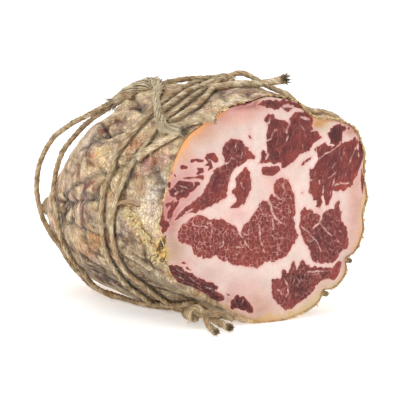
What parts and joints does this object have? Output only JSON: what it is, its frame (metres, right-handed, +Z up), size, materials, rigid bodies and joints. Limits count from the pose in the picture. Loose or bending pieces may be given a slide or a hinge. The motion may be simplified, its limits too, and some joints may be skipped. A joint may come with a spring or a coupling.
{
  "type": "dry-cured pork neck half",
  "caption": "Cut half of a dry-cured, tied pork neck lying on its side, with a marbled cut face in front, gathered casing behind and twine tied round it",
  "frame": {"origin": "middle of the flat the piece rests on, under its centre of mass", "axes": "+Z up; +Y from the cut face towards the tied small end; +X to the right of someone who faces the cut"},
  "size_m": [0.1282, 0.1922, 0.1136],
  "materials": {
    "casing": "dry natural casing with folds and pale mould bloom; the cut face is moist marbled lean and fat",
    "twine": "rough twisted natural fibre"
  },
  "bodies": {
    "root": {"meat": "casing", "twine": "twine"}
  },
  "joints": []
}
